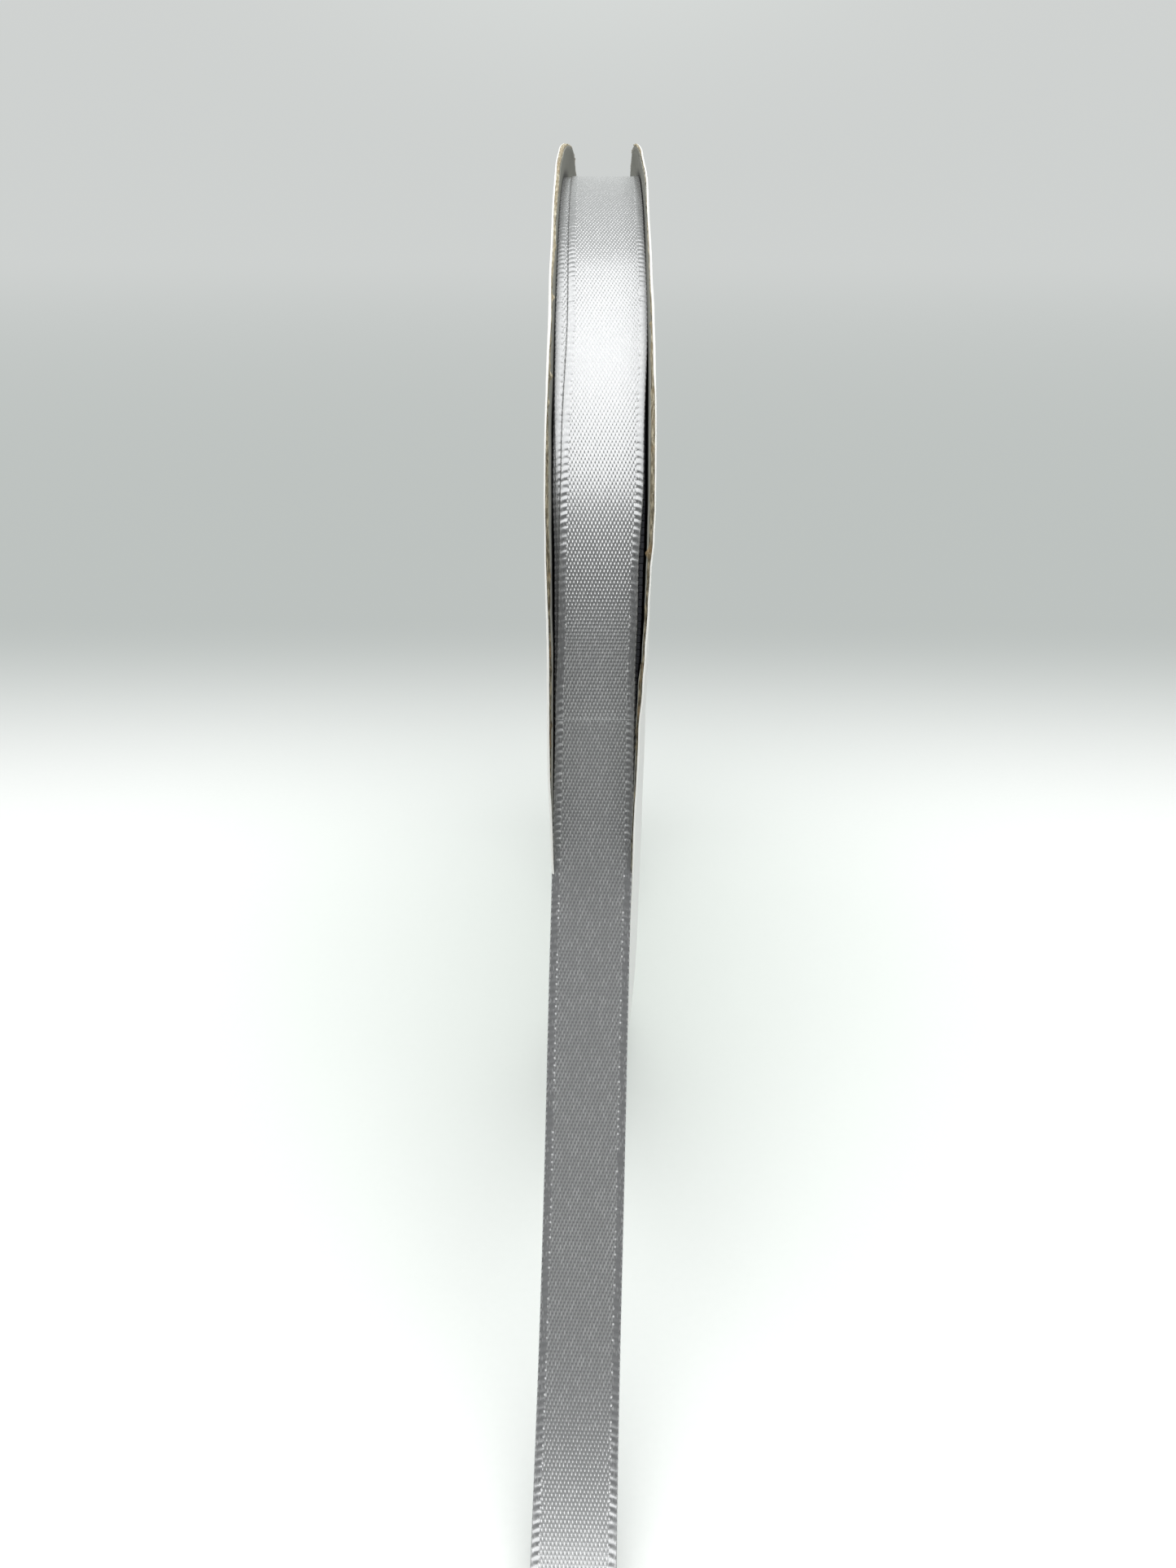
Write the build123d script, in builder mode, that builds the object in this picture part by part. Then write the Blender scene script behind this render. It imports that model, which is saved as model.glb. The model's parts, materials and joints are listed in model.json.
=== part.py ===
from build123d import *

import os
from math import cos, radians, sin, tan

# A narrow reel of satin ribbon that stands on the rims of its two card flanges.
# Millimetres. X runs along the reel's axis, Z is up, and the ribbon's free tail
# leaves the winding towards -Y and comes down to the floor at Z = 0.
# The origin is on the floor, under the middle of the reel.

# ---- driving dimensions ----
RIBBON_WIDTH = 10.0
LAP_THICKNESS = 0.2
FLANGE_RADIUS = 77.5
WOUND_RADIUS = 73.0
CORE_RADIUS = 31.0
CORE_WALL = 3.0
SPINDLE_HOLE_RADIUS = 8.0
INNER_GAP = 11.6

# ---- the card of one flange, from the winding outwards ----
LINER_THICKNESS = 0.1
BOARD_THICKNESS = 0.65
COVER_THICKNESS = 0.12
LINER_INSET = 0.3
COVER_INSET = 0.15

# ---- what holds the reel together, inside it ----
GLUE_THICKNESS = 0.15
GLUE_INSET = 0.5
TAPE_THICKNESS = 0.1
TAPE_WIDTH = 8.0
TAPE_START_DEGREES = 60.0
TAPE_ARC_DEGREES = 24.0

# ---- how the laps lie across the gap between the flanges ----
WINDING_WIDTH = RIBBON_WIDTH + 0.6
WINDING_SHIFT = -0.3
SECOND_LAP_SHIFT = -0.7
TOP_LAP_SHIFT = 0.3

# ---- where the tail leaves, and its route along the middle of the ribbon ----
EXIT_DEGREES = 12.0
EXIT_CLEARANCE_DEGREES = 8.0
EXIT_X = -0.5
TAIL_POINTS = [
    (-0.55, -74.85, 76.0),
    (-1.12, -84.0, 60.0),
    (-1.45, -95.0, 41.5),
    (-1.9, -106.5, 23.5),
    (-2.25, -117.5, 12.5),
    (-2.45, -129.0, 4.0),
    (-2.7, -143.0, 0.15),
    (-2.95, -157.0, 0.15),
]
ARC_SHARE = 0.45

# ---- worked out from the above ----
axis_height = FLANGE_RADIUS
inner_face = INNER_GAP / 2
board_face = inner_face + LINER_THICKNESS
cover_face = board_face + BOARD_THICKNESS
core_length = INNER_GAP - 2 * GLUE_THICKNESS
tape_radius = CORE_RADIUS + TAPE_THICKNESS
second_lap_radius = WOUND_RADIUS - LAP_THICKNESS
winding_radius = second_lap_radius - LAP_THICKNESS
tail_radius = WOUND_RADIUS - LAP_THICKNESS / 2


def across_axis(x):
    """A plane square to the reel's axis: its own X is the row's Y, and its own Y is the row's Z."""
    return Plane(origin=(x, 0, axis_height), x_dir=(0, 1, 0), z_dir=(1, 0, 0))


def polar(radius, degrees):
    """The point of such a plane at that radius and angle from its own X."""
    return (radius * cos(radians(degrees)), radius * sin(radians(degrees)))


def ring(inner, outer, x, length):
    """A flat ring or a tube round the axis, from x along it by length."""
    with BuildPart() as piece:
        with BuildSketch(across_axis(x)):
            Circle(outer)
            Circle(inner, mode=Mode.SUBTRACT)
        extrude(amount=length)
    return piece


def open_ring(inner, outer, x, length, start, arc):
    """A strip round the axis that covers only that arc, in degrees."""
    with BuildPart() as piece:
        with BuildSketch(across_axis(x)):
            with BuildLine():
                CenterArc((0, 0), inner, start, arc)
                CenterArc((0, 0), outer, start, arc)
                Line(polar(inner, start), polar(outer, start))
                Line(polar(inner, start + arc), polar(outer, start + arc))
            make_face()
        extrude(amount=length)
    return piece


def write(piece, name):
    """Label one finished piece and write it under that name."""
    piece.part.label = name
    export_step(piece.part, f"parts/{name}.step")


os.makedirs("parts", exist_ok=True)

# ---- the two flanges: a grey board with a liner inside and a white cover outside ----
for side, outward in (("left", -1), ("right", 1)):
    liner_paper = ring(
        SPINDLE_HOLE_RADIUS, FLANGE_RADIUS - LINER_INSET, outward * inner_face, outward * LINER_THICKNESS
    )
    write(liner_paper, f"{side}_liner_paper")

    board = ring(SPINDLE_HOLE_RADIUS, FLANGE_RADIUS, outward * board_face, outward * BOARD_THICKNESS)
    write(board, f"{side}_board")

    cover_paper = ring(
        SPINDLE_HOLE_RADIUS, FLANGE_RADIUS - COVER_INSET, outward * cover_face, outward * COVER_THICKNESS
    )
    write(cover_paper, f"{side}_cover_paper")

    glue_ring = ring(
        CORE_RADIUS - CORE_WALL + GLUE_INSET,
        CORE_RADIUS - GLUE_INSET,
        outward * inner_face,
        -outward * GLUE_THICKNESS,
    )
    write(glue_ring, f"{side}_glue_ring")

# ---- the paperboard tube that the ribbon is wound on, and the tape on its first end ----
core_tube = ring(CORE_RADIUS - CORE_WALL, CORE_RADIUS, -core_length / 2, core_length)
write(core_tube, "core_tube")

start_tape = open_ring(
    CORE_RADIUS,
    tape_radius,
    WINDING_SHIFT - TAPE_WIDTH / 2,
    TAPE_WIDTH,
    TAPE_START_DEGREES,
    TAPE_ARC_DEGREES,
)
write(start_tape, "start_tape")

# ---- the wound ribbon: the inner laps as one ring, then the two outermost laps ----
ribbon_winding = ring(tape_radius, winding_radius, WINDING_SHIFT - WINDING_WIDTH / 2, WINDING_WIDTH)
write(ribbon_winding, "ribbon_winding")

second_lap = ring(winding_radius, second_lap_radius, SECOND_LAP_SHIFT - RIBBON_WIDTH / 2, RIBBON_WIDTH)
write(second_lap, "second_lap")

# The reel's front, at -Y, is at 180 degrees in the plane, and the ribbon leaves just above it.
lap_arc = 360.0 - EXIT_CLEARANCE_DEGREES
top_lap = open_ring(
    second_lap_radius,
    WOUND_RADIUS,
    TOP_LAP_SHIFT - RIBBON_WIDTH / 2,
    RIBBON_WIDTH,
    180.0 - EXIT_DEGREES - lap_arc,
    lap_arc,
)
write(top_lap, "top_lap")

# ---- the free tail: straight runs joined by arcs as large as the runs allow ----
exit_point = (
    EXIT_X,
    -tail_radius * cos(radians(EXIT_DEGREES)),
    axis_height + tail_radius * sin(radians(EXIT_DEGREES)),
)
route = [Vector(*point) for point in [exit_point] + TAIL_POINTS]
runs = [after - before for before, after in zip(route, route[1:])]
radii = []
for run, next_run in zip(runs, runs[1:]):
    half_turn = radians(run.get_angle(next_run)) / 2
    radii.append(ARC_SHARE * min(run.length, next_run.length) / tan(half_turn))

with BuildPart() as ribbon_tail:
    with BuildLine() as tail_path:
        FilletPolyline(*route, radius=radii)
    with BuildSketch(Plane(origin=route[0], x_dir=(1, 0, 0), z_dir=runs[0])):
        Rectangle(RIBBON_WIDTH, LAP_THICKNESS)
    beside_path = tail_path.wire().moved(Location((RIBBON_WIDTH, 0, 0)))
    sweep(path=tail_path.wire(), binormal=beside_path)
write(ribbon_tail, "ribbon_tail")

tail_length = tail_path.wire().length
tail_section = RIBBON_WIDTH * LAP_THICKNESS
print("runs mm:", [round(run.length, 1) for run in runs])
print("radii mm:", [round(radius, 1) for radius in radii])
print("tail length mm:", round(tail_length, 2))
print("volume over section times length:", round(ribbon_tail.part.volume / (tail_section * tail_length), 4))
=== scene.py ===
import json
from math import cos, pi, radians, sin, tau

import bpy
import numpy as np
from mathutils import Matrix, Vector


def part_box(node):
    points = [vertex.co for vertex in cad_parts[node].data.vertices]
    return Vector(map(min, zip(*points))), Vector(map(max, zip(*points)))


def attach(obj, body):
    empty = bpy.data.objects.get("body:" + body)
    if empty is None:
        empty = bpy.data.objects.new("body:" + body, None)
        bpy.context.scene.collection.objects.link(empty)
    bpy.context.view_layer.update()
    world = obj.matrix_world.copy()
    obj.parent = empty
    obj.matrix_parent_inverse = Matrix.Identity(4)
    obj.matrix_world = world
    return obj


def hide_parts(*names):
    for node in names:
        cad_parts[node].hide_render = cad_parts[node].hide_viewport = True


# The looks of a narrow reel of satin ribbon on two card flanges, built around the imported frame.
# Metres, in the frame's own axes: X along the reel's axis, Z up, the ribbon leaves towards -Y.
# Angles round the reel are in degrees from its front (-Y) upwards, so 90 is its top.

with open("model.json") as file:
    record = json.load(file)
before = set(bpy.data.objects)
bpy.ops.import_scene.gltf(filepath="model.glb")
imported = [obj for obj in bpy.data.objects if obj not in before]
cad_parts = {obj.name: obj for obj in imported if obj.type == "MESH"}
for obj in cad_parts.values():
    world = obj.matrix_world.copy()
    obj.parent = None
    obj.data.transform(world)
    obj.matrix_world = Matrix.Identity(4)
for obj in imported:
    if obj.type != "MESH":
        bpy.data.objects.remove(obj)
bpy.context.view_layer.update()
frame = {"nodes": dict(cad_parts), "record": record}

MM = 0.001

# ---- places taken from the frame ----
board_low, board_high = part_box("left_board")
top_low, top_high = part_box("top_lap")
AXIS_HEIGHT = (board_low.z + board_high.z) / 2
FLANGE_RADIUS = (board_high.z - board_low.z) / 2
WOUND_RADIUS = (top_high.z - top_low.z) / 2
RIBBON_WIDTH = top_high.x - top_low.x
HOLE_RADIUS = frame["record"]["mounts"][0]["dims"]["r_mm"] * MM
INNER_FACE = -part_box("left_liner_paper")[1].x
BOARD_FACE = -board_high.x
COVER_FACE = -board_low.x
OUTER_FACE = -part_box("left_cover_paper")[0].x
CORE_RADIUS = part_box("core_tube")[1].z - AXIS_HEIGHT
TAPE_RADIUS = (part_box("start_tape")[1].z - AXIS_HEIGHT + CORE_RADIUS) / 2
LAP_THICKNESS = 0.2 * MM
SECOND_LAP_RADIUS = WOUND_RADIUS - LAP_THICKNESS
THIRD_LAP_RADIUS = SECOND_LAP_RADIUS - LAP_THICKNESS
FOURTH_LAP_RADIUS = THIRD_LAP_RADIUS - LAP_THICKNESS
WINDING_RADIUS = FOURTH_LAP_RADIUS - LAP_THICKNESS


# ---- the camera, as high as the reel's top and about 13 cm in front of the reel ----
CAMERA_DISTANCE = 0.2186
CAMERA_ASIDE = 0.31 * MM
CAMERA_ELEVATION = 20.7
CAMERA_TILT = 28.5
CAMERA_YAW = 0.72
CAMERA_LENS = 27.03
SENSOR_WIDTH = 36


def make_camera():
    """The camera looks down along the plane of the reel, from a little right of its middle."""
    camera = bpy.data.objects.new("camera", bpy.data.cameras.new("camera"))
    camera.data.lens = CAMERA_LENS
    camera.data.sensor_width = SENSOR_WIDTH
    camera.location = (
        CAMERA_ASIDE,
        -CAMERA_DISTANCE * cos(radians(CAMERA_ELEVATION)),
        AXIS_HEIGHT + CAMERA_DISTANCE * sin(radians(CAMERA_ELEVATION)),
    )
    camera.rotation_euler = (radians(90 - CAMERA_TILT), 0, radians(CAMERA_YAW))
    bpy.context.collection.objects.link(camera)
    bpy.context.scene.camera = camera


make_camera()


# ---- the free tail's route in metres: the part's points, a few moved to suit a smooth spline ----
EXIT_DEGREES = 12.0
EXIT = (
    -0.0005,
    -(WOUND_RADIUS - LAP_THICKNESS / 2) * cos(radians(EXIT_DEGREES)),
    AXIS_HEIGHT + (WOUND_RADIUS - LAP_THICKNESS / 2) * sin(radians(EXIT_DEGREES)),
)
TAIL_POINTS = [
    EXIT,
    (-0.0007, -0.07485, 0.0760),
    (-0.00112, -0.0840, 0.0600),
    (-0.00145, -0.0950, 0.0415),
    (-0.0019, -0.1065, 0.0235),
    (-0.00225, -0.1173, 0.0121),
    (-0.00245, -0.1290, 0.0047),
    (-0.0027, -0.1430, 0.00015),
    (-0.00295, -0.1570, 0.00015),
]


def route_line(points):
    """Points read from the NURBS spline that has the route's points as its control points."""
    curve = bpy.data.curves.new("tail_route", "CURVE")
    curve.dimensions = "3D"
    curve.resolution_u = 64
    spline = curve.splines.new("NURBS")
    spline.points.add(len(points) - 1)
    for control, point in zip(spline.points, points):
        control.co = (*point, 1)
    spline.order_u = 3
    spline.use_endpoint_u = True
    holder = bpy.data.objects.new("tail_route", curve)
    mesh = bpy.data.meshes.new_from_object(holder)
    line = np.array([vertex.co for vertex in mesh.vertices])
    bpy.data.objects.remove(holder)
    bpy.data.meshes.remove(mesh)
    return line


tail_line = route_line(TAIL_POINTS)


# ---- helpers for shapes ----
def eased(points, where):
    """Values between given (place, value) points, eased from each to the next."""
    places = np.array([point[0] for point in points], float)
    values = np.array([point[1] for point in points], float)
    where = np.clip(np.asarray(where, float), places[0], places[-1])
    index = np.clip(np.searchsorted(places, where) - 1, 0, len(places) - 2)
    share = (where - places[index]) / (places[index + 1] - places[index])
    share = share * share * (3 - 2 * share)
    return values[index] + (values[index + 1] - values[index]) * share


def around(radius, angles, x):
    """Points at that radius and x round the reel, at angles in degrees from the front upwards."""
    radius, angles, x = np.broadcast_arrays(radius, np.radians(angles), x)
    return np.stack([x, -radius * np.cos(angles), AXIS_HEIGHT + radius * np.sin(angles)], axis=-1)


def ragged(count, seed, smooth):
    """Seamless random values round a ring, about -1 to 1, smoothed over that many steps."""
    raw = np.random.default_rng(seed).normal(size=count)
    kernel = np.exp(-0.5 * (np.arange(count) - count // 2) ** 2 / smooth**2)
    spectrum = np.fft.rfft(raw) * np.fft.rfft(np.roll(kernel, -(count // 2)))
    value = np.fft.irfft(spectrum, count)
    return value / np.abs(value).max()


def swept(name, sections, joined, coordinates=None):
    """A mesh object from closed cross-sections, stations x points x 3, capped where not joined."""
    stations, points = sections.shape[:2]
    index = np.arange(stations * points).reshape(stations, points)
    ahead = np.roll(index, -1, axis=0) if joined else index[1:]
    behind = index if joined else index[:-1]
    quads = np.stack(
        [behind, np.roll(behind, -1, axis=1), np.roll(ahead, -1, axis=1), ahead], axis=-1
    ).reshape(-1, 4)
    faces = quads.tolist()
    if not joined:
        faces.append(index[0][::-1].tolist())
        faces.append(index[-1].tolist())
    mesh = bpy.data.meshes.new(name)
    mesh.from_pydata(sections.reshape(-1, 3).tolist(), [], faces)
    if coordinates is not None:
        corners = np.zeros(len(mesh.loops), np.int32)
        mesh.loops.foreach_get("vertex_index", corners)
        layer = mesh.uv_layers.new(name="strip")
        layer.data.foreach_set("uv", coordinates.reshape(-1, 2)[corners].astype(np.float32).ravel())
    mesh.polygons.foreach_set("use_smooth", [len(polygon.vertices) == 4 for polygon in mesh.polygons])
    mesh.update()
    piece = bpy.data.objects.new(name, mesh)
    bpy.context.collection.objects.link(piece)
    return piece


def place(piece, material, slot, *nodes):
    """Finishes a piece: its material, its body and the nodes it replaces. The slot is not used."""
    piece.data.materials.append(material)
    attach(piece, "root")
    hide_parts(*nodes)
    return piece


# ---- helpers for materials ----
class Nodes:
    """Short calls for the nodes that the materials and the world have in common."""

    def __init__(self, tree):
        self.tree = tree

    def node(self, kind, **settings):
        made = self.tree.nodes.new(kind)
        for key, value in settings.items():
            setattr(made, key, value)
        return made

    def feed(self, socket, value):
        if isinstance(value, bpy.types.NodeSocket):
            self.tree.links.new(value, socket)
        else:
            socket.default_value = value

    def math(self, operation, first, second=0.0, third=0.0):
        made = self.node("ShaderNodeMath", operation=operation)
        for socket, value in zip(made.inputs, (first, second, third)):
            self.feed(socket, value)
        return made.outputs[0]

    def ramp(self, value, low, high, to_low=0.0, to_high=1.0):
        made = self.node("ShaderNodeMapRange", interpolation_type="SMOOTHSTEP")
        for socket, given in zip(made.inputs, (value, low, high, to_low, to_high)):
            self.feed(socket, given)
        return made.outputs[0]

    def mix(self, share, first, second):
        made = self.node("ShaderNodeMix", data_type="RGBA")
        self.feed(made.inputs["Factor"], share)
        self.feed(made.inputs[6], first)
        self.feed(made.inputs[7], second)
        return made.outputs[2]

    def split(self, vector):
        made = self.node("ShaderNodeSeparateXYZ")
        self.feed(made.inputs[0], vector)
        return made.outputs

    def join(self, x, y, z):
        made = self.node("ShaderNodeCombineXYZ")
        for socket, value in zip(made.inputs, (x, y, z)):
            self.feed(socket, value)
        return made.outputs[0]


class Shader(Nodes):
    """One procedural material around a Principled surface."""

    def __init__(self, name):
        self.material = bpy.data.materials.new(name)
        self.material.use_nodes = True
        super().__init__(self.material.node_tree)
        self.surface = self.tree.nodes["Principled BSDF"]

    def noise(self, where, scale, detail=3.0):
        made = self.node("ShaderNodeTexNoise")
        self.feed(made.inputs["Vector"], where)
        made.inputs["Scale"].default_value = scale
        made.inputs["Detail"].default_value = detail
        return made.outputs[0]

    def chance(self, first, second):
        """A random value from 0 to 1 for each pair of whole numbers."""
        made = self.node("ShaderNodeTexWhiteNoise", noise_dimensions="2D")
        self.feed(made.inputs["Vector"], self.join(first, second, 0.0))
        return made.outputs[0]

    def position(self):
        return self.node("ShaderNodeTexCoord").outputs["Object"]

    def dome(self, first, second):
        """1 in the middle, falling to 0 where the two offsets reach a unit circle."""
        far = self.math("ADD", self.math("POWER", first, 2.0), self.math("POWER", second, 2.0))
        return self.math("MAXIMUM", self.math("SUBTRACT", 1.0, far), 0.0)

    def distance(self, first, second):
        """How far the point with those two coordinates is from zero."""
        first = self.math("MULTIPLY", first, first)
        second = self.math("MULTIPLY", second, second)
        return self.math("SQRT", self.math("ADD", first, second))

    def round_the_axis(self):
        """Where a point is round the reel: its x, its radius, and the length of arc to it."""
        x, y, z = self.split(self.position())
        up = self.math("SUBTRACT", z, AXIS_HEIGHT)
        radius = self.distance(y, up)
        turn = self.math("ARCTAN2", up, self.math("MULTIPLY", y, -1.0))
        return x, radius, self.math("MULTIPLY", turn, FLANGE_RADIUS)

    def bump(self, height, distance, normal=None):
        """Raises the surface by that height times the distance, around a leaning normal if given."""
        made = self.node("ShaderNodeBump")
        made.inputs["Distance"].default_value = distance
        self.feed(made.inputs["Height"], height)
        if normal is not None:
            self.feed(made.inputs["Normal"], normal)
        self.feed(self.surface.inputs["Normal"], made.outputs[0])

    def tilt(self, slope, tangent):
        """Leans the shading normal along the strip, square to the tangent, by that slope."""
        normal = self.node("ShaderNodeNewGeometry").outputs["Normal"]
        lengthwise = self.node("ShaderNodeVectorMath", operation="CROSS_PRODUCT")
        self.feed(lengthwise.inputs[0], normal)
        self.feed(lengthwise.inputs[1], tangent)
        scaled = self.node("ShaderNodeVectorMath", operation="SCALE")
        self.feed(scaled.inputs[0], lengthwise.outputs[0])
        self.feed(scaled.inputs["Scale"], slope)
        leaning = self.node("ShaderNodeVectorMath", operation="ADD")
        self.feed(leaning.inputs[0], normal)
        self.feed(leaning.inputs[1], scaled.outputs[0])
        unit = self.node("ShaderNodeVectorMath", operation="NORMALIZE")
        self.feed(unit.inputs[0], leaning.outputs[0])
        return unit.outputs[0]

    def set(self, **values):
        """Gives the surface those values or sockets, and returns the finished material."""
        for key, value in values.items():
            self.feed(self.surface.inputs[key.replace("_", " ")], value)
        return self.material


# ---- the satin: five-end weave, read from the strip's own coordinates ----
# The dashes are measured in rows and columns of the weave, and a bead's length in loops.
ROW_PITCH = 0.45 * MM
COLUMN_PITCH = 0.47 * MM
ROW_SHIFT = 0.4
DASH_HALF_LENGTH = 0.85
DASH_HALF_WIDTH = 0.22
DASH_SLOPE = 0.7
SELVAGE_PITCH = 0.94 * MM
SELVAGE_WIDTH = 0.85 * MM
SELVAGE_START = RIBBON_WIDTH / 2 - SELVAGE_WIDTH
BEAD_HALF_LENGTH = 0.17
BEAD_HALF_WIDTH = 0.14 * MM
SATIN_HOLLOW = (0.2, 0.2, 0.21, 1)
SATIN_GLINT = (0.8, 0.8, 0.81, 1)


def dashes(shader, across, rows):
    """Where warp floats dive: how deep a point is in a dash, the slope there, and its glint."""
    depth, slope, glint = 0.0, 0.0, 0.0
    for parity in (0, 1):
        pairs = shader.math("MULTIPLY", shader.math("ADD", rows, parity), 0.5)
        pair = shader.math("FLOOR", pairs)
        row = shader.math("MULTIPLY_ADD", pair, 2.0, -parity)
        column = shader.math("DIVIDE", across, COLUMN_PITCH)
        column = shader.math("ADD", column, shader.math("MULTIPLY", row, ROW_SHIFT))
        along = shader.math("SUBTRACT", shader.math("FRACT", pairs), 0.5)
        along = shader.math("MULTIPLY", along, 2 / DASH_HALF_LENGTH)
        aside = shader.math("SUBTRACT", shader.math("FRACT", column), 0.5)
        here = shader.dome(along, shader.math("DIVIDE", aside, DASH_HALF_WIDTH))
        depth = shader.math("MAXIMUM", here, depth)
        slope = shader.math("ADD", shader.math("MULTIPLY", along, here), slope)
        luck = shader.ramp(shader.chance(shader.math("FLOOR", column), row), 0.5, 1.0)
        glint = shader.math("MAXIMUM", shader.math("MULTIPLY", luck, here), glint)
    return depth, slope, glint


def selvage_loops(shader, across, along, from_edge):
    """The selvage's looped weft: a bead and a lobe at each loop, and the slope of its ridge."""
    loops = shader.math("DIVIDE", along, SELVAGE_PITCH)
    luck = shader.chance(shader.math("FLOOR", loops), shader.math("SIGN", across))
    in_loop = shader.math("SUBTRACT", shader.math("FRACT", loops), 0.5)
    bead_offset = shader.math("SUBTRACT", from_edge, SELVAGE_WIDTH)
    bead_offset = shader.math("DIVIDE", bead_offset, BEAD_HALF_WIDTH)
    bead = shader.dome(shader.math("DIVIDE", in_loop, BEAD_HALF_LENGTH), bead_offset)
    bead = shader.math("MULTIPLY", bead, shader.ramp(luck, 0.1, 0.7))
    slant = shader.math("MULTIPLY", shader.math("DIVIDE", from_edge, SELVAGE_WIDTH), 0.3)
    turn = shader.math("MULTIPLY", shader.math("ADD", loops, slant), tau)
    lobe = shader.math("MULTIPLY_ADD", shader.math("COSINE", turn), 0.5, 0.5)
    steepness = shader.math("MULTIPLY_ADD", luck, 0.1, 0.08)
    ridge = shader.math("MULTIPLY", shader.math("SINE", turn), steepness)
    return bead, lobe, ridge


def satin():
    """Grey satin: glossy warp floats in a five-end weave, between two looped selvages."""
    shader = Shader("satin")
    strip = shader.node("ShaderNodeUVMap", uv_map="strip").outputs[0]
    across, along, _ = shader.split(strip)
    rows = shader.math("DIVIDE", along, ROW_PITCH)
    in_row = shader.math("SUBTRACT", shader.math("FRACT", rows), 0.5)
    weft = shader.ramp(shader.math("ABSOLUTE", in_row), 0.3, 0.5)
    depth, slope, glint = dashes(shader, across, rows)

    from_edge = shader.math("SUBTRACT", RIBBON_WIDTH / 2, shader.math("ABSOLUTE", across))
    body = shader.ramp(from_edge, SELVAGE_WIDTH - 0.05 * MM, SELVAGE_WIDTH + 0.05 * MM)
    selvage = shader.math("SUBTRACT", 1.0, body)
    depth = shader.math("MULTIPLY", depth, body)
    slope = shader.math("MULTIPLY", slope, body)
    weft = shader.math("MULTIPLY", weft, body)

    bead, lobe, ridge = selvage_loops(shader, across, along, from_edge)
    slope = shader.math("MULTIPLY", slope, DASH_SLOPE)
    slope = shader.math("ADD", slope, shader.math("MULTIPLY", ridge, selvage))
    # Painted highlight: the loops at the very rim are painted lighter, as if catching the light.
    at_rim = shader.ramp(from_edge, 0.1 * MM, 0.02 * MM)
    rim_glint = shader.math("MULTIPLY", shader.ramp(lobe, 0.5, 1.0), at_rim)

    streaks = shader.noise(shader.join(shader.math("MULTIPLY", across, 60.0), along, 0.0), 90.0)
    ground = shader.mix(streaks, (0.40, 0.405, 0.41, 1), (0.465, 0.47, 0.475, 1))
    ground = shader.mix(shader.math("MULTIPLY", weft, 0.4), ground, SATIN_HOLLOW)
    # The selvage is painted a little darker; its extra darkening in the gaps between the lobes is
    # painted shade.
    hollow = shader.math("MULTIPLY", selvage, shader.math("MULTIPLY_ADD", lobe, -0.15, 0.3))
    ground = shader.mix(hollow, ground, SATIN_HOLLOW)
    # Painted highlights: chance dashes are painted lighter as glints. The dashes' middles and the
    # selvage's beads are lighter and less glossy.
    shine = shader.math("MULTIPLY_ADD", glint, 0.35, shader.math("MULTIPLY", depth, 0.25))
    shine = shader.math("MAXIMUM", shine, bead)
    shine = shader.math("MAXIMUM", shine, shader.math("MULTIPLY", rim_glint, 0.3))
    colour = shader.mix(shine, ground, SATIN_GLINT)

    tangent = shader.node("ShaderNodeTangent", direction_type="UV_MAP", uv_map="strip").outputs[0]
    shader.feed(shader.surface.inputs["Tangent"], tangent)
    sunk = shader.math("MULTIPLY", depth, 0.38)
    raised = shader.math("SUBTRACT", shader.math("MULTIPLY", bead, 0.7), sunk)
    shader.bump(raised, 0.05 * MM, shader.tilt(slope, tangent))
    gloss = shader.math("MULTIPLY_ADD", shine, 0.15, 0.265)
    metal = shader.math("MULTIPLY_ADD", shine, -0.3, 0.53)
    metal = shader.math("SUBTRACT", metal, shader.math("MULTIPLY", bead, 0.5))
    return shader.set(Base_Color=colour, Metallic=metal, Roughness=gloss, Anisotropic=0.6)


def lap_edges():
    """The side of the wound ribbon: the edges of many laps, one above another, near black with painted
    shade.
    """
    shader = Shader("lap_edges")
    x, radius, arc = shader.round_the_axis()
    laps = shader.math("DIVIDE", shader.math("SUBTRACT", WINDING_RADIUS, radius), LAP_THICKNESS)
    laps = shader.math("ADD", laps, 0.5)
    in_lap = shader.math("ABSOLUTE", shader.math("SUBTRACT", shader.math("FRACT", laps), 0.5))
    loops = shader.math("DIVIDE", arc, SELVAGE_PITCH)
    offset = shader.math("MULTIPLY", shader.math("FLOOR", laps), 0.37)
    in_loop = shader.math("FRACT", shader.math("ADD", loops, offset))
    in_loop = shader.math("ABSOLUTE", shader.math("SUBTRACT", in_loop, 0.5))
    groove = shader.math("MAXIMUM", shader.ramp(in_lap, 0.3, 0.5), shader.ramp(in_loop, 0.36, 0.5))
    spots = shader.noise(shader.join(x, arc, shader.math("MULTIPLY", radius, 3.0)), 1800.0)
    # Painted shade: the laps' edges are near black, as deep in the gap, and blacker still in the
    # grooves between them.
    colour = shader.mix(groove, (0.09, 0.093, 0.11, 1), (0.015, 0.016, 0.022, 1))
    colour = shader.mix(shader.ramp(spots, 0.62, 0.75), colour, (0.2, 0.2, 0.22, 1))
    shader.bump(shader.math("SUBTRACT", 1.0, groove), 0.08 * MM)
    return shader.set(Base_Color=colour, Metallic=0.2, Roughness=0.5)


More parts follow.
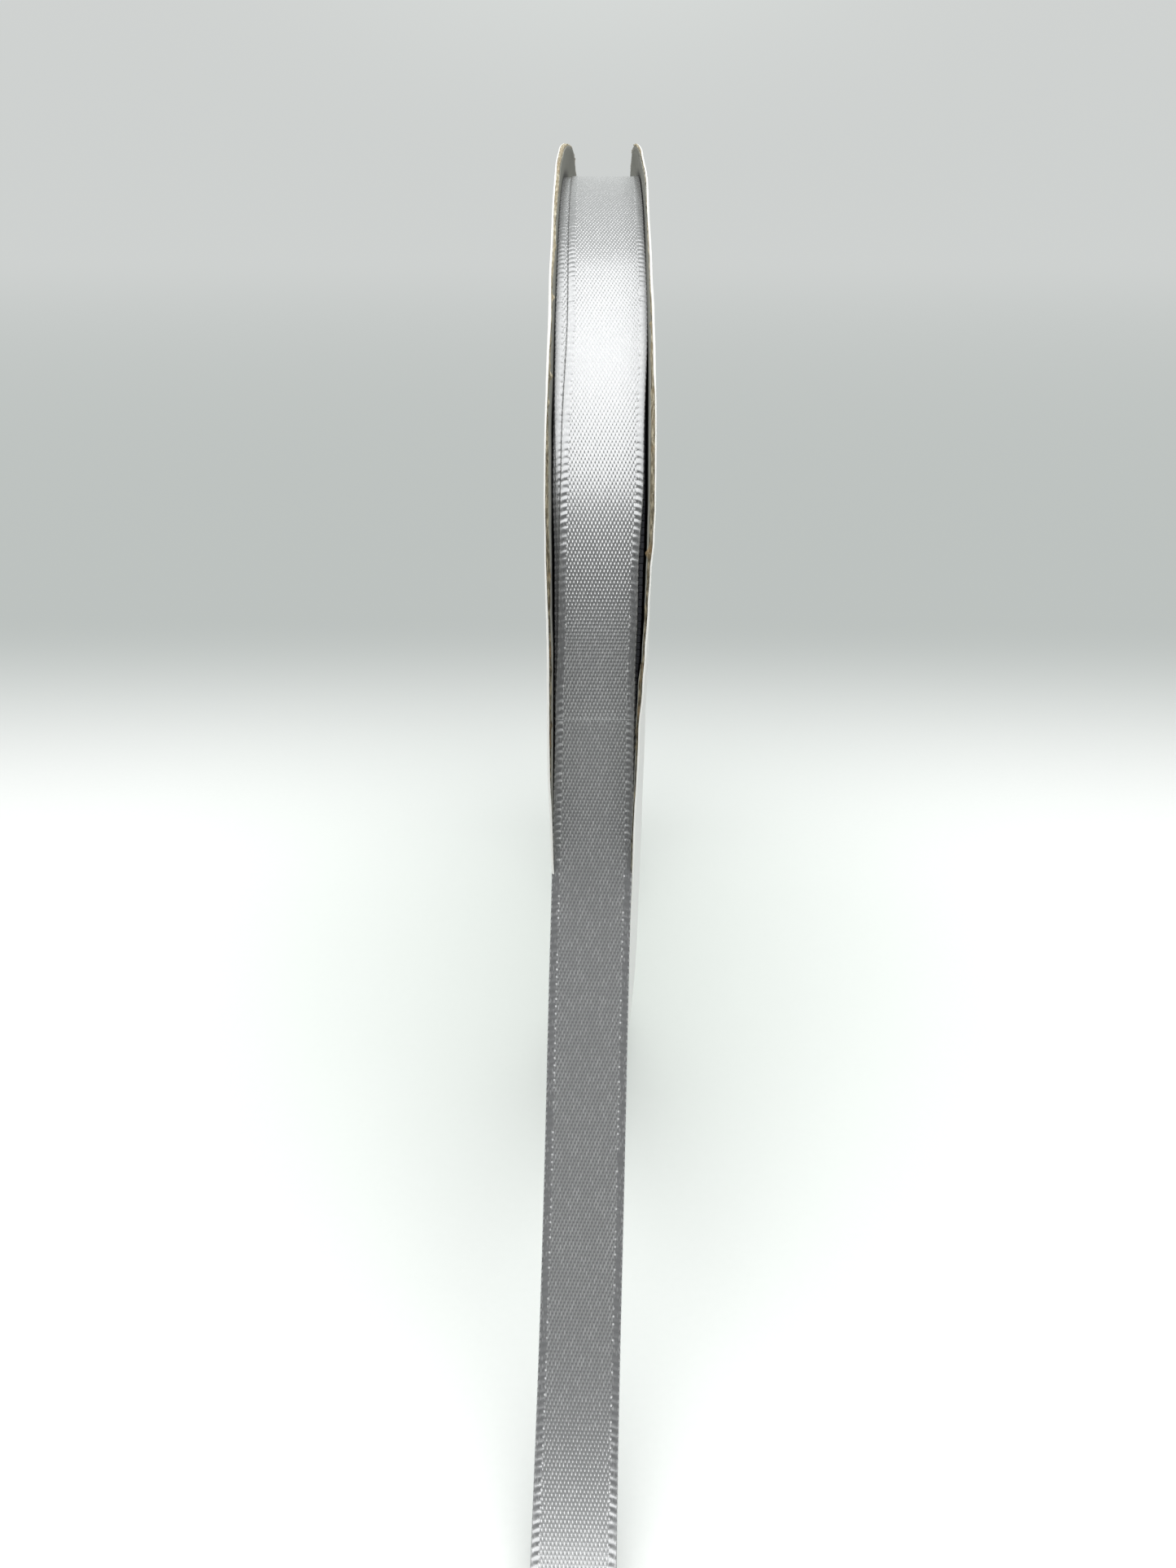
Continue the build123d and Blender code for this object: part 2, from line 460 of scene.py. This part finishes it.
def grey_board():
    """Raw board: plies along the cut edge, cream above, and a painted shade of darker brown low down
    and in front.
    """
    shader = Shader("grey_board")
    x, radius, arc = shader.round_the_axis()
    drawn = shader.join(shader.math("MULTIPLY", x, 7.0), arc, radius)
    plies = shader.ramp(shader.noise(drawn, 900.0, 5.0), 0.36, 0.66)
    blotches = shader.noise(shader.position(), 260.0, 4.0)
    fibres = shader.noise(shader.position(), 5200.0, 5.0)
    board_tone = shader.mix(plies, (0.34, 0.28, 0.175, 1), (0.68, 0.62, 0.47, 1))
    shaded_board = shader.mix(plies, (0.045, 0.038, 0.022, 1), (0.31, 0.265, 0.175, 1))
    # Painted shade: the rim turns darker and browner low down and in front, where it faces away from
    # the light.
    high_up = shader.ramp(arc, radians(16) * FLANGE_RADIUS, radians(60) * FLANGE_RADIUS)
    colour = shader.mix(high_up, shaded_board, board_tone)
    stained = shader.mix(0.5, colour, (0.3, 0.18, 0.07, 1))
    colour = shader.mix(shader.ramp(blotches, 0.56, 0.7), colour, stained)
    loose = shader.math("MULTIPLY", shader.ramp(fibres, 0.6, 0.75), 0.5)
    colour = shader.mix(loose, colour, (0.7, 0.66, 0.55, 1))
    shader.bump(shader.math("ADD", plies, shader.math("MULTIPLY", fibres, 0.7)), 0.12 * MM)
    return shader.set(Base_Color=colour, Roughness=0.9)


def cover_paper():
    """White cover paper: a smooth coated sheet, whitest at the rim, embossed faintly by the core."""
    shader = Shader("cover_paper")
    _, radius, _ = shader.round_the_axis()
    grain = shader.noise(shader.position(), 2600.0, 4.0)
    clouds = shader.noise(shader.position(), 45.0, 4.0)
    colour = shader.mix(clouds, (0.69, 0.695, 0.68, 1), (0.75, 0.755, 0.74, 1))
    edge = shader.ramp(radius, FLANGE_RADIUS - 0.5 * MM, FLANGE_RADIUS - 0.15 * MM)
    colour = shader.mix(edge, colour, (0.93, 0.925, 0.89, 1))
    ring = shader.math("ABSOLUTE", shader.math("SUBTRACT", radius, CORE_RADIUS - 1.5 * MM))
    emboss = shader.math("MULTIPLY", shader.ramp(ring, 2.6 * MM, 1.0 * MM), 3.0)
    shader.bump(shader.math("ADD", emboss, shader.math("MULTIPLY", grain, 0.4)), 0.04 * MM)
    return shader.set(Base_Color=colour, Roughness=shader.math("MULTIPLY_ADD", grain, 0.2, 0.38))


def liner_paper():
    """The grey-olive ply on a flange's inner face: matte, blotchy, and darkened beside the laps by
    painted shade.
    """
    shader = Shader("liner_paper")
    _, radius, _ = shader.round_the_axis()
    blotches = shader.noise(shader.position(), 130.0, 5.0)
    fibres = shader.noise(shader.position(), 3000.0, 5.0)
    colour = shader.mix(blotches, (0.25, 0.25, 0.22, 1), (0.36, 0.36, 0.32, 1))
    colour = shader.mix(shader.ramp(fibres, 0.6, 0.8), colour, (0.48, 0.47, 0.43, 1))
    # Painted shade: the face turns nearly black deep in the gap beside the laps.
    gap_shade = shader.ramp(radius, WOUND_RADIUS + 1.5 * MM, WOUND_RADIUS - 0.5 * MM)
    colour = shader.mix(gap_shade, colour, (0.05, 0.05, 0.048, 1))
    shader.bump(fibres, 0.05 * MM)
    return shader.set(Base_Color=colour, Roughness=0.92)


STRIP_WIDTH = 22 * MM


def core_board():
    """Brown paperboard tube: a spiral seam between strips, and a fibrous grain."""
    shader = Shader("core_board")
    x, _, arc = shader.round_the_axis()
    turn = shader.math("DIVIDE", arc, tau * FLANGE_RADIUS)
    turn = shader.math("ADD", shader.math("DIVIDE", x, STRIP_WIDTH), turn)
    seam = shader.math("ABSOLUTE", shader.math("SUBTRACT", shader.math("FRACT", turn), 0.5))
    seam = shader.ramp(seam, 0.02, 0.0)
    fibres = shader.noise(shader.position(), 2200.0, 6.0)
    colour = shader.mix(fibres, (0.36, 0.27, 0.17, 1), (0.56, 0.45, 0.31, 1))
    colour = shader.mix(seam, colour, (0.2, 0.14, 0.09, 1))
    shader.bump(shader.math("SUBTRACT", fibres, seam), 0.08 * MM)
    return shader.set(Base_Color=colour, Roughness=0.88)


def dried_glue():
    """Dried white glue: faintly yellow, smooth in the middle of its blobs."""
    shader = Shader("dried_glue")
    blobs = shader.noise(shader.position(), 420.0, 2.0)
    colour = shader.mix(blobs, (0.72, 0.66, 0.5, 1), (0.86, 0.83, 0.72, 1))
    shader.bump(blobs, 0.2 * MM)
    return shader.set(Base_Color=colour, Roughness=shader.math("MULTIPLY_ADD", blobs, 0.3, 0.25))


def crepe_tape():
    """Cream paper tape, finely creped across its length."""
    shader = Shader("crepe_tape")
    x, _, arc = shader.round_the_axis()
    crepe = shader.noise(shader.join(shader.math("MULTIPLY", x, 0.2), arc, 0.0), 2400.0, 4.0)
    colour = shader.mix(crepe, (0.7, 0.62, 0.45, 1), (0.84, 0.78, 0.62, 1))
    shader.bump(crepe, 0.06 * MM)
    return shader.set(Base_Color=colour, Roughness=0.7)


# ---- the ribbon: a thin band with a looped selvage along both edges ----
STATION_STEP = SELVAGE_PITCH / 6
BODY_COLUMNS = 6
SELVAGE_SHARES = [0.16, 0.33, 0.5, 0.67, 0.84, 0.96, 1.0]
LOOP_HEIGHT = 0.045 * MM
LOOP_REACH = 0.15 * MM
BAND_THICKNESS = 0.16 * MM
UNDERSIDE_INSET = 0.1 * MM
# Where the laps below the top one start to bend down towards the gap, and how far they do,
# in millimetres at angles in degrees.
DROOP_START = 4.5 * MM
DROOP_WIDTH = 1.2 * MM
DROOP = [(4, 0.3), (26, 0.3), (38, 0), (364, 0)]
NO_DROOP = [(4, 0), (364, 0)]


def band_sections(centres, across, outward, along, droop=0.0):
    """Cross-sections of the band along a line, and its points' (across, along) coordinates."""
    half = RIBBON_WIDTH / 2 + LOOP_REACH
    body = np.linspace(-SELVAGE_START, SELVAGE_START, BODY_COLUMNS)
    loop = SELVAGE_START + (half - SELVAGE_START) * np.array(SELVAGE_SHARES)
    top = np.concatenate([-loop[::-1], body, loop])
    under_half = half - UNDERSIDE_INSET
    under = np.array([under_half, SELVAGE_START, -SELVAGE_START, -under_half])
    columns = np.concatenate([top, under])

    phase = along[:, None] / SELVAGE_PITCH
    from_start = (np.abs(columns) - SELVAGE_START) / (half - SELVAGE_START)
    roundness = np.sqrt(np.clip(1 - (2 * from_start - 1) ** 2, 0, 1)) * (from_start > 0)
    lobe = np.abs(np.cos(pi * phase))
    lift = LOOP_HEIGHT * roundness * (0.2 + 0.8 * lobe)
    is_top = np.arange(len(columns)) < len(top)
    height = np.where(is_top, BAND_THICKNESS / 2 + lift, -BAND_THICKNESS / 2)
    edge = (np.abs(columns) > half - 0.01 * MM) & is_top
    height = np.where(edge, 0, height)
    reach = np.where(edge, LOOP_REACH * 0.4 * (lobe - 1), 0) * np.sign(columns)
    overhang = np.clip((np.abs(centres[:, :1] + columns) - DROOP_START) / DROOP_WIDTH, 0, 1)
    height = height - np.reshape(droop, (-1, 1)) * overhang**1.5

    sideways = (columns + reach)[..., None] * across[:, None, :]
    sections = centres[:, None, :] + sideways + height[..., None] * outward[:, None, :]
    strip = np.stack(np.broadcast_arrays(columns[None, :], along[:, None]), axis=-1)
    return sections, strip


# Share of its full width that the ribbon shows where it cups as it is pulled off, at angles
# in degrees on the top lap, and then at millimetres along the tail.
LAP_SPREAD = [(12, 0.965), (18, 0.945), (26, 0.95), (34, 1.0), (364, 1.0)]
TAIL_SPREAD = [(0, 0.965), (18, 1.0)]


def lap_band(name, outer_radius, drift, start, end, droop):
    """One lap of the ribbon, from start to end in degrees; drift lists its middle's x in mm."""
    count = int(radians(end - start) * WOUND_RADIUS / STATION_STEP)
    angles = np.linspace(start, end, count)
    radius = outer_radius(angles) if callable(outer_radius) else outer_radius
    centres = around(radius - LAP_THICKNESS / 2, angles, eased(drift, angles) * MM)
    outward = around(1.0, angles, 0.0) - (0, 0, AXIS_HEIGHT)
    across = np.outer(eased(LAP_SPREAD, angles), (1.0, 0.0, 0.0))
    along = -np.radians(angles - EXIT_DEGREES) * WOUND_RADIUS
    sections, strip = band_sections(centres, across, outward, along, eased(droop, angles) * MM)
    return swept(name, sections, False, strip)


def tail_band(name, line):
    """The free tail along the route's line, its face turned away from the reel."""
    steps = np.linalg.norm(np.diff(line, axis=0), axis=1)
    measured = np.concatenate([[0], np.cumsum(steps)])
    count = int(measured[-1] / STATION_STEP)
    along = np.linspace(0, measured[-1], count)
    centres = np.stack([np.interp(along, measured, line[:, axis]) for axis in range(3)], axis=-1)
    tangent = np.gradient(centres, along, axis=0)
    tangent /= np.linalg.norm(tangent, axis=1)[:, None]
    side = np.array([1.0, 0.0, 0.0]) - tangent * tangent[:, :1]
    side /= np.linalg.norm(side, axis=1)[:, None]
    outward = np.cross(side, tangent)
    outward *= -np.sign(outward[:, 1:2])
    across = side * eased(TAIL_SPREAD, along / MM)[:, None]
    sections, strip = band_sections(centres, across, outward, along)
    return swept(name, sections, False, strip), centres


satin_material = satin()

# How far the middle of each lap stands from the reel's mid-plane, in millimetres at an angle.
TOP_LAP_DRIFT = [(12, -0.5), (23, -0.18), (37, 0.25), (53, 0.76), (70, 0.52), (90, 0.42),
                 (110, 0.15), (180, 0.3), (270, -0.1), (300, -0.3), (364, -0.6)]
SECOND_LAP_DRIFT = [(4, -0.45), (12, -0.4), (20, -0.3), (34, -0.44), (44, -0.68), (54, -0.76),
                    (90, -0.86), (150, -0.75), (364, -0.7)]
THIRD_LAP_DRIFT = [(4, -0.6), (18, -0.66), (54, -0.74), (90, -0.84), (150, -0.7), (364, -0.7)]
FOURTH_LAP_DRIFT = [(4, -0.35), (40, -0.3), (50, 0), (60, 0.6), (70, 0.68), (90, 0.6), (110, 0.4),
                    (180, 0.5), (270, 0.1), (300, -0.2), (364, -0.25)]


TOP_LAP_START = EXIT_DEGREES - 0.8
TOP_LAP_SINK = [(TOP_LAP_START, -0.02), (14, 0), (330, 0), (364, 0.17)]


def top_lap_radius(angles):
    """The top lap stands proud over the tail's start and sinks by nearly a lap at its inner end."""
    return WOUND_RADIUS - eased(TOP_LAP_SINK, angles) * MM


for name, outer_radius, drift, start, end, droop, node in (
    ("top_lap_satin", top_lap_radius, TOP_LAP_DRIFT, TOP_LAP_START, 364, NO_DROOP, "top_lap"),
    ("second_lap_satin", SECOND_LAP_RADIUS, SECOND_LAP_DRIFT, 4, 363.5, DROOP, "second_lap"),
    ("third_lap_satin", THIRD_LAP_RADIUS, THIRD_LAP_DRIFT, 4, 363.5, DROOP, "ribbon_winding"),
    ("fourth_lap_satin", FOURTH_LAP_RADIUS, FOURTH_LAP_DRIFT, 4, 363.5, DROOP, "ribbon_winding"),
):
    place(lap_band(name, outer_radius, drift, start, end, droop), satin_material, "ribbon", node)

tail, tail_path = tail_band("ribbon_tail_satin", tail_line)
place(tail, satin_material, "ribbon", "ribbon_tail")


# ---- the two flanges, bowed by handling: liner, board and cover follow the same bow ----
# How far each face stands inwards at the rim, in millimetres, at angles in degrees from the front.
LEFT_INNER_BOW = [(-180, 0.2), (-150, 0), (-2, -0.05), (4, 0.03), (11, 0.13), (18, 0.18), (22, 0),
                  (26, -0.08), (30, -0.2), (36, -0.3), (40, -0.4), (45, -0.25), (58, -0.2), (90, -0.25),
                  (120, -0.1), (150, 0.1), (180, 0.2)]
LEFT_OUTER_BOW = [(-180, 0.2), (-150, 0), (-90, 0.4), (-40, 0.95), (-10, 0.95), (0, 0.65), (8, 0.4),
                  (17, 0.4), (28, 0.1), (32, -0.02), (37, -0.05), (42, 0.02), (50, 0.12), (58, 0.02),
                  (68, -0.08), (90, -0.25), (120, -0.1), (150, 0.1), (180, 0.2)]
RIGHT_INNER_BOW = [(-180, 0.3), (-150, 0.1), (-120, 0.4), (-90, 0.9), (-60, 1.4), (-15, 1.7), (0, 1.65),
                   (11, 1.35), (15, 1.15), (18, 0.7), (22, 0.45), (25, 0.3), (28.5, 0.08), (33, -0.07),
                   (48, -0.18), (55, -0.08), (60, 0), (90, 0.1), (150, 0.1), (180, 0.3)]
RIGHT_OUTER_BOW = [(-180, 0.3), (-150, 0.1), (-120, 0.5), (-90, 1.2), (-60, 2.0), (-40, 2.3),
                   (-15, 2.35), (0, 2.1), (11, 1.7), (15, 1.3), (18, 1.05), (22, 0.75), (25, 0.55),
                   (28, 0.2), (31, 0.03), (38, -0.03), (45, 0.03), (50, 0.12), (55, 0.3), (65, 0.5),
                   (90, 0.45), (110, 0.2), (150, 0.1), (180, 0.3)]
# How much further inwards the last few millimetres of each rim curl, in millimetres at an angle.
CURL = {
    -1: [(-180, 0.2), (-150, 0), (52, 0), (60, 0.15), (75, 0.25), (82, 0.5), (90, 0.93),
         (100, 1.4), (112, 1.4), (130, 1.0), (150, 0.4), (180, 0.2)],
    1: [(-180, 0.2), (-150, 0), (70, 0), (80, 0.45), (90, 1.0), (100, 1.08), (112, 1.05),
        (130, 0.7), (150, 0.3), (180, 0.2)],
}
CURL_START = 72 * MM
RIM_BOW_START = 66 * MM
# How far the white cover is turned over the board's outer corner, in millimetres at an angle.
TURNED_OVER = {
    -1: [(-180, 0), (0, 0.1), (18, 0.1), (29, -0.04), (34, 0), (40, 0.05), (45, 0.15), (49, 0.22),
         (55, 0.1), (70, 0.05), (85, -0.05), (180, 0)],
    1: [(-180, 0), (0, 0), (25, 0), (41, 0), (44, 0.15), (50, 0.15), (62, 0.1), (75, 0.05),
        (90, -0.05), (180, 0)],
}
RIM_STEPS = 1800
PAPER_STEPS = 1080
RADIAL_STOPS = (0.0, 0.2, 0.4, 0.56, 0.68, 0.78, 0.86, 0.91, 0.94, 0.97, 0.985, 0.995)
RAGGED_EDGE = 0.2 * MM
PAPER_EDGE = 0.02 * MM
COVER_LAPS_IN = 0.08 * MM
# Tufts of torn fibre on a board's inner edge: side, angle, how far they stand into the gap.
TUFTS = [(-1, 51.7, 0.3), (-1, 43.0, 0.42), (-1, 40.5, 0.2), (-1, 11.5, 0.2), (1, 48.6, 0.3),
         (1, 41.5, 0.2), (1, 26.7, 0.4), (1, 17.0, 0.15), (1, 9.5, 0.15)]
TUFT_DEGREES = 0.32


def signed(angles):
    """Angles in degrees brought to between -180 and 180."""
    return (np.asarray(angles) + 180) % 360 - 180


def bow_share(radius):
    """How much of the rim's bow a radius has: none at the core, most close to the rim."""
    broad = np.clip((radius - CORE_RADIUS) / (FLANGE_RADIUS - CORE_RADIUS), 0, 1) ** 1.3
    near_rim = np.clip((radius - RIM_BOW_START) / (FLANGE_RADIUS - RIM_BOW_START), 0, 1) ** 1.5
    return 0.5 * broad + 0.5 * near_rim


def face_x(side, level, bow, radius, angles):
    """The x of a flange face at that level from the mid-plane, bowed and curled inwards."""
    curled = np.clip((radius - CURL_START) / (FLANGE_RADIUS - CURL_START), 0, 1) ** 1.5
    bowed = eased(bow, signed(angles)) * bow_share(radius)
    inwards = bowed + eased(CURL[side], signed(angles)) * curled
    return side * (level - inwards * MM)


def ring_stops(outer):
    """Radii from the spindle hole to that outer radius, closer together towards the rim."""
    return [HOLE_RADIUS + share * (outer - HOLE_RADIUS) for share in RADIAL_STOPS]


def flange_ring(name, side, inner, outer, steps, rim, turned=(0, 0)):
    """A ring between two faces, each (level, bow).

    The rim lists (radius, share across, raggedness), and turned says how much the inner and the
    outer face follow the turned-over corner.
    """
    angles = np.arange(steps) * 360 / steps
    columns = []
    outer_radius = rim[0][0]
    over = eased(TURNED_OVER[side], signed(angles)) * MM * side
    for radius in ring_stops(outer_radius):
        columns.append(around(radius, angles, face_x(side, *inner, radius, angles)))
    for number, (radius, share, rough) in enumerate(rim):
        from_inner = face_x(side, *inner, radius, angles) - over * turned[0]
        from_outer = face_x(side, *outer, radius, angles) - over * turned[1]
        seed = 10 * number + side
        wear = rough * (0.7 * ragged(steps, seed + 5, 1.1) + 0.6 * ragged(steps, side + 90, 7.0))
        sink = rough * (1 + ragged(steps, seed + 7, 1.2)) / 2
        columns.append(
            around(radius - sink, angles, from_inner + (from_outer - from_inner) * share + wear)
        )
    for radius in reversed(ring_stops(outer_radius)):
        columns.append(around(radius, angles, face_x(side, *outer, radius, angles)))
    sections = np.stack(columns, axis=1)
    return swept(name, sections, True), sections


def add_tufts(piece, side, edge_columns, columns):
    """Pushes the board's inner edge out into the gap at the tufts of its side."""
    angles = np.repeat(np.arange(RIM_STEPS) * 360 / RIM_STEPS, columns).reshape(-1, columns)
    points = np.array([vertex.co for vertex in piece.data.vertices]).reshape(-1, columns, 3)
    for tuft_side, angle, reach in TUFTS:
        if tuft_side != side:
            continue
        away = signed(angles[:, edge_columns] - angle) / TUFT_DEGREES
        push = np.exp(-(away**2)) * reach * MM
        points[:, edge_columns, 0] -= side * push
    piece.data.vertices.foreach_set("co", points.ravel())
    piece.data.update()


board_material = grey_board()
cover_material = cover_paper()
liner_material = liner_paper()

for side, side_name, inner_bow, outer_bow in (
    (-1, "left", LEFT_INNER_BOW, LEFT_OUTER_BOW),
    (1, "right", RIGHT_INNER_BOW, RIGHT_OUTER_BOW),
):
    cover_seat = (COVER_FACE - COVER_LAPS_IN, outer_bow)
    liner, _ = flange_ring(
        f"{side_name}_liner_sheet",
        side,
        (INNER_FACE, inner_bow),
        (BOARD_FACE, inner_bow),
        PAPER_STEPS,
        [(FLANGE_RADIUS - 0.35 * MM, 0.0, PAPER_EDGE), (FLANGE_RADIUS - 0.3 * MM, 1.0, PAPER_EDGE)],
    )
    place(liner, liner_material, "liner_paper", f"{side_name}_liner_paper")

    board, board_sections = flange_ring(
        f"{side_name}_raw_board",
        side,
        (BOARD_FACE, inner_bow),
        cover_seat,
        RIM_STEPS,
        [
            (FLANGE_RADIUS - 0.12 * MM, 0.0, RAGGED_EDGE),
            (FLANGE_RADIUS - 0.02 * MM, 0.15, RAGGED_EDGE),
            (FLANGE_RADIUS, 0.4, RAGGED_EDGE),
            (FLANGE_RADIUS, 0.7, RAGGED_EDGE),
            (FLANGE_RADIUS - 0.02 * MM, 0.98, 0.3 * RAGGED_EDGE),
        ],
        turned=(0, 1),
    )
    first_rim = len(RADIAL_STOPS)
    add_tufts(board, side, [first_rim, first_rim + 1], board_sections.shape[1])
    place(board, board_material, "grey_board", f"{side_name}_board")

    cover, _ = flange_ring(
        f"{side_name}_cover_sheet",
        side,
        cover_seat,
        (OUTER_FACE, outer_bow),
        PAPER_STEPS,
        [
            (FLANGE_RADIUS - 0.04 * MM, 0.0, PAPER_EDGE),
            (FLANGE_RADIUS, 0.3, PAPER_EDGE),
            (FLANGE_RADIUS - 0.06 * MM, 0.9, PAPER_EDGE),
        ],
        turned=(1, 0),
    )
    place(cover, cover_material, "cover_paper", f"{side_name}_cover_paper")


# ---- the inner laps, their edges stacked a little unevenly ----
OUTER_LAPS = 14
COARSE_STEP = 1.6 * MM
WINDING_STEPS = 400
# Each side of the winding: the flange it leans with, and its millimetres from the mid-plane.
WINDING_SIDES = ((1, RIGHT_INNER_BOW, 5.4), (-1, LEFT_INNER_BOW, 5.45))
WINDING_LEAN = 1.02
WINDING_WAVER = 0.05


def lap_stack():
    """A side of the winding as (radius, jitter) pairs from the rim in: laps, then coarse steps."""
    chance = np.random.default_rng(31)
    stack = []
    radius = WINDING_RADIUS
    for _ in range(OUTER_LAPS):
        edge = chance.uniform(-0.12, 0.1)
        stack += [(radius, edge - 0.1), (radius - 0.05 * MM, edge), (radius - 0.15 * MM, edge)]
        radius -= LAP_THICKNESS
    while radius > TAPE_RADIUS + COARSE_STEP:
        stack.append((radius, chance.uniform(-0.12, 0.08)))
        radius -= COARSE_STEP
    stack.append((TAPE_RADIUS, 0.0))
    return stack


def winding_mesh():
    """One ring whose two sides follow the stack of laps and lean with the bow of the flanges."""
    angles = np.arange(WINDING_STEPS) * 360 / WINDING_STEPS
    columns = []
    stack = lap_stack()
    for side, bow, level in WINDING_SIDES:
        ordered = stack if side == 1 else stack[::-1]
        for number, (radius, jitter) in enumerate(ordered):
            lean = eased(bow, signed(angles)) * bow_share(radius) * WINDING_LEAN
            waver = WINDING_WAVER * ragged(WINDING_STEPS, 50 + number, 8)
            columns.append(around(radius, angles, side * (level + jitter + waver - lean) * MM))
    return swept("ribbon_winding_laps", np.stack(columns, axis=1), True)


winding = winding_mesh()
place(winding, lap_edges(), "ribbon", "ribbon_winding")


# ---- the CAD pieces that keep their shape get their materials ----
def refinish(material, *names):
    """Puts the material on those CAD nodes in place of their plain one."""
    for name in names:
        data = frame["nodes"][name].data
        data.materials.clear()
        data.materials.append(material)


refinish(core_board(), "core_tube")
refinish(dried_glue(), "left_glue_ring", "right_glue_ring")
refinish(crepe_tape(), "start_tape")


# ---- floor and light: a pale floor that turns grey behind the reel, under one large softbox ----
FLOOR_SIZE = 8.0
# Where, in metres, the floor turns into the background behind the reel and all round it, where
# that background changes colour behind and turns to a painted shade in front, and how close to
# the reel the floor takes a faint, greenish painted shadow.
FLOOR_FADE = (0.03, 0.21)
FLOOR_FADE_ROUND = (0.6, 1.4)
BEHIND_RAMP = (0.2, 1.8)
IN_FRONT_RAMP = (-0.3, -0.9)
FLOOR_SHADOW_REACH = (0.2, 0.02)
BACKGROUND_NEAR = (0.51, 0.54, 0.525, 1)
BACKGROUND_FAR = (0.62, 0.64, 0.63, 1)
BACKGROUND_HIGH = (0.65, 0.665, 0.655, 1)
BACKGROUND_GLOW = (0.76, 0.79, 0.77, 1)
# FRONT_FLOOR_SHADE is painted shade: the far floor in front of the reel, on the viewer's side, glows
# dark.
FRONT_FLOOR_SHADE = (0.08, 0.083, 0.087, 1)
VIEWER_SHADE = (0.03, 0.032, 0.035, 1)
# The world, in parts of its unit sphere: the glow's half width, the rise from the horizon to
# the lighter zone, and the shade in front, which leans away from the reel as it goes up.
GLOW_HALF_WIDTH = 0.32
HORIZON_RAMP = (-0.02, 0.26)
SHADE_RAMP = (-0.15, -0.68)
SHADE_LEAN = 0.35


def make_floor():
    """A plain pale floor that fades into a glowing background, grey behind the reel and far away, with
    painted shade in front.
    """
    mesh = bpy.data.meshes.new("floor")
    half = FLOOR_SIZE / 2
    corners = [(-half, -half, 0), (half, -half, 0), (half, half, 0), (-half, half, 0)]
    mesh.from_pydata(corners, [], [(0, 1, 2, 3)])
    floor = bpy.data.objects.new("floor", mesh)
    bpy.context.collection.objects.link(floor)
    shader = Shader("floor")
    x, y, _ = shader.split(shader.position())
    distance = shader.distance(x, y)
    fade_round = shader.ramp(distance, *FLOOR_FADE_ROUND)
    fade = shader.math("MAXIMUM", shader.ramp(y, *FLOOR_FADE), fade_round)
    grain = shader.noise(shader.position(), 900.0, 3.0)
    pale = shader.mix(grain, (0.86, 0.87, 0.86, 1), (0.89, 0.90, 0.89, 1))
    wavering = shader.math("ADD", distance, shader.math("MULTIPLY", grain, 0.01))
    # Painted shadow: the floor is a little darker and greener close to the reel.
    reel_shadow = shader.ramp(wavering, *FLOOR_SHADOW_REACH)
    pale = shader.mix(shader.math("MULTIPLY", reel_shadow, 0.6), pale, (0.79, 0.84, 0.80, 1))
    shader.set(Base_Color=pale, Roughness=0.6)
    behind = shader.mix(shader.ramp(y, *BEHIND_RAMP), BACKGROUND_NEAR, BACKGROUND_FAR)
    glow = shader.node("ShaderNodeEmission")
    # Painted shade: in front of the reel the glowing background turns dark.
    in_front = shader.ramp(y, *IN_FRONT_RAMP)
    shader.feed(glow.inputs["Color"], shader.mix(in_front, behind, FRONT_FLOOR_SHADE))
    both = shader.node("ShaderNodeMixShader")
    shader.feed(both.inputs[0], fade)
    shader.feed(both.inputs[1], shader.surface.outputs[0])
    shader.feed(both.inputs[2], glow.outputs[0])
    shader.feed(shader.tree.nodes["Material Output"].inputs["Surface"], both.outputs[0])
    mesh.materials.append(shader.material)


def add_softbox(name, location, target, size, power):
    """A soft rectangular light that faces its target."""
    light = bpy.data.lights.new(name, "AREA")
    light.shape = "RECTANGLE"
    light.size, light.size_y = size
    light.energy = power
    lamp = bpy.data.objects.new(name, light)
    lamp.location = location
    lamp.rotation_euler = (Vector(target) - Vector(location)).to_track_quat("-Z", "Y").to_euler()
    bpy.context.collection.objects.link(lamp)


def make_world():
    """Pale all round, lighter above the horizon, dark in front of the reel, on the viewer's side."""
    world = bpy.data.worlds.new("studio")
    world.use_nodes = True
    sky = Nodes(world.node_tree)
    x, y, z = sky.split(sky.node("ShaderNodeTexCoord").outputs["Generated"])
    glow = sky.ramp(sky.math("ABSOLUTE", x), GLOW_HALF_WIDTH, 0.0)
    high = sky.mix(glow, BACKGROUND_HIGH, BACKGROUND_GLOW)
    pale = sky.mix(sky.ramp(z, *HORIZON_RAMP), BACKGROUND_FAR, high)
    front = sky.ramp(sky.math("MULTIPLY_ADD", z, SHADE_LEAN, y), *SHADE_RAMP)
    colour = sky.mix(front, pale, VIEWER_SHADE)
    sky.feed(sky.tree.nodes["Background"].inputs["Color"], colour)
    bpy.context.scene.world = world


SOFTBOX_HEIGHT = 0.70
SOFTBOX_FRONT = -0.53
SOFTBOX_BACK = 0.26
SOFTBOX_WIDTH = 0.8
SOFTBOX_POWER = 4.95

make_floor()
make_world()
softbox_middle = (SOFTBOX_FRONT + SOFTBOX_BACK) / 2
add_softbox(
    "overhead",
    (0, softbox_middle, SOFTBOX_HEIGHT),
    (0, softbox_middle, 0),
    (SOFTBOX_WIDTH, SOFTBOX_BACK - SOFTBOX_FRONT),
    SOFTBOX_POWER,
)
bpy.context.scene.view_settings.view_transform = "Standard"
